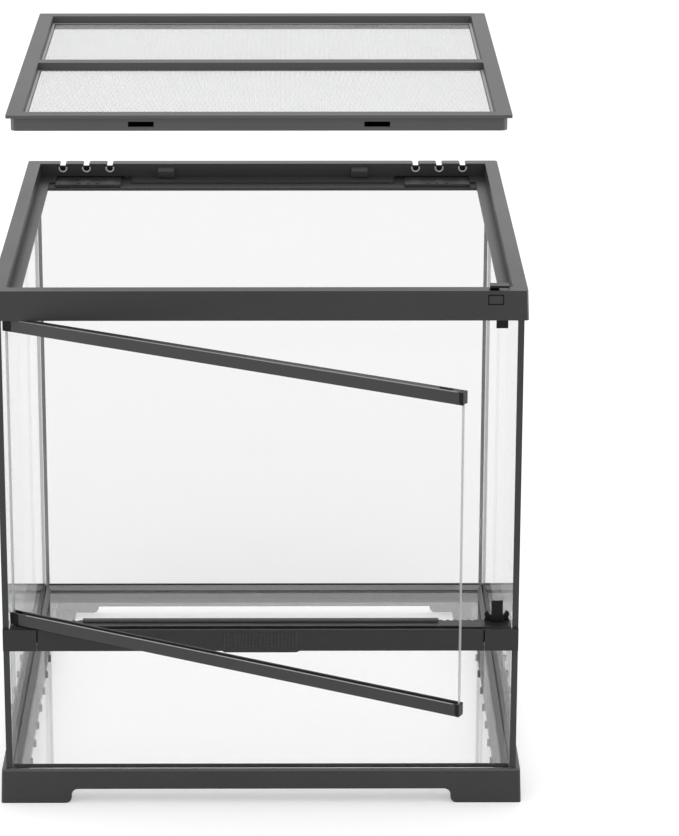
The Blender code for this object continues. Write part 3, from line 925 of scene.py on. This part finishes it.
@dataclass
class RibbedGrip:
    """A row of plain upright ribs in the middle of the vent rail's front plate."""

    finishes: Finishes
    width: float = 62 * MM
    height: float = 11.5 * MM
    count: int = 21
    rib: float = 0.55 * MM
    middle_height: float = 12.2 * MM
    proud: float = 0.05 * MM

    def tree(self) -> bpy.types.NodeTree:
        """Build the ribs' tree.

        Returns:
            The geometry node tree.
        """
        graph = Graph("ribbed_grip")
        width, height = graph.size("Width"), graph.size("Height")
        rib, count = graph.size("Rib Radius"), graph.size("Count", "NodeSocketInt")
        bar = graph.node("GeometryNodeCurvePrimitiveLine",
                         Start=graph.vector(z=height * -0.5), End=graph.vector(z=height * 0.5))
        ring = graph.node("GeometryNodeCurvePrimitiveCircle", Resolution=10, Radius=rib)
        solid = graph.node("GeometryNodeCurveToMesh", Curve=bar, Profile_Curve=ring,
                           Fill_Caps=True)
        row = graph.node("GeometryNodeMeshLine", {"mode": "END_POINTS"}, Count=count,
                         Start_Location=graph.vector(x=width * -0.5),
                         Offset=graph.vector(x=width * 0.5))
        return graph.finish(graph.node("GeometryNodeInstanceOnPoints", Points=row,
                                       Instance=solid), self.finishes.shades[Shade.BODY])

    def build(self) -> bpy.types.Object:
        """Place the ribs on the plate's face.

        Returns:
            The row of ribs.
        """
        low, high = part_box("vent_fascia")
        place = Vector(((low.x + high.x) / 2, low.y - self.proud, low.z + self.middle_height))
        sizes = {"Width": self.width, "Height": self.height, "Rib Radius": self.rib,
                 "Count": self.count}
        return fit(grow("fascia_ribs", self.tree(), sizes, place,
                        self.finishes.shades[Shade.BODY]), Body.CABINET)


# --- sub-assemblies ------------------------------------------------------------------------

@dataclass
class Assembly:
    """A sub-assembly made of soft shells and panes."""

    finishes: Finishes
    body: Body = Body.CABINET
    grey: tuple[str, ...] = ()
    black: tuple[str, ...] = ()
    panes: tuple[str, ...] = ()
    beads: tuple[str, ...] = ()
    edge: float = 0.35 * MM
    shade: Shade = Shade.BODY

    def build(self) -> None:
        """Make every piece of the sub-assembly."""
        for node in self.grey:
            SoftShell(node, self.body, Slot.GREY, self.finishes.shades[self.shade],
                      self.edge).build()
        for node in self.black:
            SoftShell(node, self.body, Slot.BLACK, self.finishes.black, self.edge).build()
        for node in self.panes:
            Pane(node, self.body, self.finishes,
                 polished=self.body is Body.CABINET).build()
        for node in self.beads:
            SoftShell(node, self.body, Slot.SILICONE, self.finishes.silicone,
                      self.edge).build()


@dataclass
class Plinth(Assembly):
    """The footed base ring."""

    grey: tuple[str, ...] = ("base_frame",)
    edge: float = 0.9 * MM


@dataclass
class GlassBox(Assembly):
    """Five fixed panes, their sealant and the dark strips on the side panes' front edges."""

    grey: tuple[str, ...] = ("left_edge_trim", "right_edge_trim")
    panes: tuple[str, ...] = ("bottom_glass", "rear_glass", "front_lower_glass",
                              "left_glass", "right_glass")
    beads: tuple[str, ...] = ("silicone_floor",)
    clear_beads: tuple[str, ...] = ("silicone_front_left", "silicone_front_right")
    corner_beads: tuple[str, ...] = ("silicone_rear_left", "silicone_rear_right")
    edge: float = 0.2 * MM

    def build(self) -> None:
        """Make the panes, the trims and every bead."""
        super().build()
        for node in self.corner_beads:
            CornerBead(node, self.finishes).build()
        for node in self.clear_beads:
            SoftShell(node, self.body, Slot.SILICONE, self.finishes.clear_edge,
                      self.edge).build()


@dataclass
class VentRail(Assembly):
    """The cross rail with its clipped front plate, cover strip and ribbed grip."""

    grey: tuple[str, ...] = ("vent_rail", "vent_fascia", "vent_cover")
    edge: float = 0.3 * MM
    # the darker copy of the plastic, as painted shade
    shade: Shade = Shade.RAIL

    def build(self) -> None:
        """Make the rail's pieces and the grip."""
        super().build()
        RibbedGrip(self.finishes).build()


@dataclass
class TopFrame(Assembly):
    """The rim that holds the lid, with hooks and catch bodies."""

    grey: tuple[str, ...] = ("top_frame", "lid_hook_left", "lid_hook_right")
    black: tuple[str, ...] = ("upper_catch_base", "lower_catch_base")
    edge: float = 0.8 * MM
    hole_pitch: float = 22.5 * MM
    hole_x: float = 169.0 * MM
    hole_z: float = 461.0 * MM
    hole_radius: float = 3.9 * MM
    highlight_inset: float = 0.3 * MM
    highlight_thickness: float = 0.75 * MM
    highlight_offset: float = 0.4 * MM
    highlight_start: float = math.radians(-200.0)
    highlight_sweep: float = math.radians(220.0)
    mark_sides: tuple[float, float] = (191.7 * MM, 204.3 * MM)
    mark_drops: tuple[float, float] = (11.9 * MM, 3.7 * MM)
    mark_set: float = 0.62 * MM
    mark_half_width: float = 0.3 * MM
    mark_half_depth: float = 0.12 * MM

    def build(self) -> None:
        """Make the rim and the pale arcs in its cable holes, which are painted highlights of the
        lit bores.
        """
        super().build()
        for side, sign in (("left", -1.0), ("right", 1.0)):
            self.collars(side, sign)
        self.mark_outline()

    def mark_outline(self) -> None:
        """Draw a plain square of thin near-black lines round the blank recess over the lock, as
        painted shade along its edge.
        """
        low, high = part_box("top_frame")
        left, right = self.mark_sides
        bottom, top = (high.z - drop for drop in self.mark_drops)
        face = low.y + self.mark_set
        corners = [(left, bottom), (right, bottom), (right, top), (left, top)]
        for i, (x, z) in enumerate(corners):
            u, v = corners[(i + 1) % 4]
            run = Vector((u - x, 0.0, v - z)).normalized()
            piece = bar(f"mark_line_{i + 1}", Vector((x, face, z)), Vector((u, face, v)),
                        run.cross(Vector((0.0, 1.0, 0.0))) * self.mark_half_width,
                        Vector((0.0, self.mark_half_depth, 0.0)), self.finishes.painted_shade)
            fit(piece, Body.CABINET)

    def collars(self, side: str, sign: float) -> bpy.types.Object:
        """Lay a pale arc round the lower half of each of one side's three cable holes, a painted
        highlight of the lit bore.

        Args:
            side: The side's name.
            sign: -1 for the left, 1 for the right.

        Returns:
            The three painted highlight arcs as one piece.
        """
        graph = Graph("cable_collars")
        radius, pitch = graph.size("Hole Radius"), graph.size("Pitch")
        thick = graph.size("Thickness")
        arc = graph.node("GeometryNodeCurveArc", {"mode": "RADIUS"}, Resolution=14,
                         Radius=radius, Start_Angle=self.highlight_start,
                         Sweep_Angle=self.highlight_sweep)
        ring = graph.node("GeometryNodeCurvePrimitiveCircle", Resolution=8, Radius=thick)
        tube = graph.node("GeometryNodeCurveToMesh", Curve=arc, Profile_Curve=ring,
                          Fill_Caps=True)
        upright = graph.node("GeometryNodeTransform", Geometry=tube,
                             Rotation=(math.radians(90.0), 0.0, 0.0))
        row = graph.node("GeometryNodeMeshLine", Count=3,
                         Start_Location=graph.vector(x=pitch * -1.0),
                         Offset=graph.vector(x=pitch))
        tree = graph.finish(graph.node("GeometryNodeInstanceOnPoints", Points=row,
                                       Instance=upright), self.finishes.collar)
        place = Vector((sign * self.hole_x,
                        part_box("lid_hook_left")[1].y + self.highlight_offset, self.hole_z))
        sizes = {"Hole Radius": self.hole_radius - self.highlight_inset,
                 "Pitch": self.hole_pitch, "Thickness": self.highlight_thickness}
        return fit(grow(f"cable_collars_{side}", tree, sizes, place, self.finishes.collar),
                   Body.CABINET)


@dataclass
class Door(Assembly):
    """The hinged pane in its two channel rails."""

    body: Body = Body.DOOR
    grey: tuple[str, ...] = ("door_top_rail", "door_bottom_rail")
    black: tuple[str, ...] = ("hinge_shoe_upper", "hinge_shoe_lower",
                              "door_end_cap_upper", "door_end_cap_lower")
    panes: tuple[str, ...] = ("door_glass",)
    edge: float = 0.3 * MM
    lip_half: float = 0.45 * MM
    lip_drop: float = 0.25 * MM
    hinge_end: float = 8 * MM
    free_end: float = 2 * MM

    def build(self) -> None:
        """Make the door and the painted highlights along the front lips of its two rails."""
        super().build()
        for node in self.grey:
            self.front_lip(node)

    def front_lip(self, node: str) -> bpy.types.Object:
        """Lay a paler strip along the upper front edge of one rail as a painted highlight.

        Args:
            node: The rail's node.

        Returns:
            The painted highlight strip.
        """
        points = [v.co.copy() for v in frame["nodes"][node].data.vertices]
        _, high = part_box(node)
        along = Vector((math.cos(DOOR_TURN), math.sin(DOOR_TURN), 0.0))
        front = Vector((math.sin(DOOR_TURN), -math.cos(DOOR_TURN), 0.0))
        reach = max(p.dot(front) for p in points)
        start = min(p.dot(along) for p in points)
        end = max(p.dot(along) for p in points)
        middle = front * (reach - self.lip_half) + Vector((0.0, 0.0, high.z - self.lip_drop))
        return fit(bar(f"{node}_lip", middle + along * (start + self.hinge_end),
                       middle + along * (end - self.free_end), front * self.lip_half,
                       Vector((0.0, 0.0, self.lip_half)), self.finishes.lip),
                   self.body)


@dataclass
class Lid(Assembly):
    """The lift-off lid with its two woven screens."""

    body: Body = Body.LID
    grey: tuple[str, ...] = ("lid_frame",)
    screens: tuple[str, ...] = ("lid_screen_front", "lid_screen_rear")
    edge: float = 0.7 * MM
    # the lighter copy of the plastic, as painted light
    shade: Shade = Shade.LID
    slot_x: float = 98.0 * MM
    slot_half: float = 12.2 * MM
    skirt_set: float = 6.35 * MM
    pocket_set: float = 1.3 * MM
    slot_drop: float = 8.5 * MM
    pocket_half_depth: float = 1.2 * MM
    pocket_half_height: float = 3.6 * MM

    def build(self) -> None:
        """Make the frame, weave the screens and close each of the skirt's slots from behind with
        a near-black sheet as painted shade.
        """
        super().build()
        for node in self.screens:
            WovenScreen(node, self.finishes).build()
        low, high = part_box("lid_frame")
        for row, y, out in (("front", low.y, 1.0), ("rear", high.y, -1.0)):
            for side, sign in (("left", -1.0), ("right", 1.0)):
                x = sign * self.slot_x
                middle = y + out * (self.skirt_set + self.pocket_set)
                height = high.z - self.slot_drop
                # a near-black sheet behind the slot: painted shade inside it
                shade_sheet = bar(f"slot_pocket_{row}_{side}",
                             Vector((x - self.slot_half, middle, height)),
                             Vector((x + self.slot_half, middle, height)),
                             Vector((0.0, self.pocket_half_depth, 0.0)),
                             Vector((0.0, 0.0, self.pocket_half_height)), self.finishes.painted_shade)
                fit(shade_sheet, self.body)


@dataclass
class SmallMovers:
    """The lock's bolt, the sprung catch tongues and the cable shutters."""

    finishes: Finishes
    black: dict[str, Body] = field(default_factory=lambda: {
        "door_lock_bolt": Body.LOCK, "upper_catch_tongue": Body.UPPER_CATCH,
        "lower_catch_tongue": Body.LOWER_CATCH})
    grey: dict[str, Body] = field(default_factory=lambda: {
        "cable_slider_left": Body.LEFT_SHUTTER, "cable_slider_right": Body.RIGHT_SHUTTER})
    edge: float = 0.25 * MM

    def build(self) -> None:
        """Make each piece on its own body."""
        for node, body in self.black.items():
            SoftShell(node, body, Slot.BLACK, self.finishes.black, self.edge).build()
        for node, body in self.grey.items():
            # the shutters take the darker copy of the plastic, as painted shade
            SoftShell(node, body, Slot.GREY, self.finishes.shades[Shade.SHUTTER],
                      self.edge).build()


# --- studio --------------------------------------------------------------------------------

@dataclass(frozen=True)
class SoftBox:
    """A square studio light that looks at a point and shows only as a sheen."""

    name: str
    place: Point
    target: Point
    side: float
    radiance: float

    def build(self) -> bpy.types.Object:
        """Hang the light.

        Returns:
            The light's object.
        """
        lamp = bpy.data.lights.new(self.name, "AREA")
        lamp.shape = "SQUARE"
        lamp.size = self.side
        lamp.energy = self.radiance * math.pi * self.side ** 2
        light = bpy.data.objects.new(self.name, lamp)
        light.visible_diffuse = False
        light.visible_camera = False
        light.location = self.place
        look = Vector(self.target) - Vector(self.place)
        light.rotation_euler = look.to_track_quat("-Z", "Y").to_euler()
        bpy.context.scene.collection.objects.link(light)
        return light


@dataclass(frozen=True)
class Camera:
    """The view from the front, above the rim and looking down at the floor."""

    place: Point = (0.0225, -2.8678, 1.2609)
    pitch: float = 17.056
    yaw: float = 0.198
    lens: float = 147.05
    shift_x: float = 0.05
    shift_y: float = -0.09

    def build(self) -> bpy.types.Object:
        """Set up the camera.

        Returns:
            The camera's object.
        """
        data = bpy.data.cameras.new("camera")
        data.sensor_width = 36.0
        data.lens = self.lens
        data.shift_x = self.shift_x
        data.shift_y = self.shift_y
        data.clip_end = 50.0
        camera = bpy.data.objects.new("camera", data)
        camera.location = self.place
        camera.rotation_euler = (math.radians(90 - self.pitch), 0.0, -math.radians(self.yaw))
        bpy.context.scene.collection.objects.link(camera)
        bpy.context.scene.camera = camera
        return camera


@dataclass
class Studio:
    """White surroundings, a pale floor and soft lights above, behind and at both sides."""

    finishes: Finishes
    glow: float = 1.0
    floor_half: float = 14.0
    floor_gap: float = 0.05 * MM
    clear_layers: int = 32
    lights: tuple[SoftBox, ...] = (
        SoftBox("overhead", (0.0, -0.7, 3.2), (0.0, 0.0, 0.3), 2.0, 5.0),
        SoftBox("rear_sheen", (0.0, 4.2, 1.9), (0.0, 0.0, 0.4), 2.6, 0.6),
        SoftBox("left_strip", (-2.6, -0.2, 0.6), (0.0, 0.0, 0.4), 1.2, 22.0),
        SoftBox("right_strip", (2.6, -0.2, 0.6), (0.0, 0.0, 0.4), 1.2, 22.0),
    )

    def build(self) -> None:
        """Set up the room."""
        Camera().build()
        for light in self.lights:
            light.build()
        world = bpy.data.worlds.new("white_room")
        world.use_nodes = True
        backdrop = world.node_tree.nodes["Background"]
        backdrop.inputs["Color"].default_value = (1.0, 1.0, 1.0, 1.0)
        backdrop.inputs["Strength"].default_value = self.glow
        scene = bpy.context.scene
        scene.world = world
        scene.view_settings.view_transform = "Standard"
        scene.cycles.transparent_max_bounces = self.clear_layers
        bm = bmesh.new()
        bmesh.ops.create_grid(bm, x_segments=1, y_segments=1, size=self.floor_half)
        mesh = bpy.data.meshes.new("floor")
        bm.to_mesh(mesh)
        bm.free()
        floor = link("floor", mesh, self.finishes.floor)
        for vertex in floor.data.vertices:
            vertex.co.z = CAD_BOX[0].z - self.floor_gap


def main() -> None:
    """Build the studio and every sub-assembly."""
    logging.basicConfig(level=logging.INFO, format="%(name)s: %(message)s")
    finishes = Finishes()
    Studio(finishes).build()
    for assembly in (Plinth(finishes), GlassBox(finishes), VentRail(finishes),
                     TopFrame(finishes), Door(finishes), Lid(finishes),
                     SmallMovers(finishes)):
        assembly.build()
        LOG.info("built %s", type(assembly).__name__)


if __name__ == "__main__":
    main()
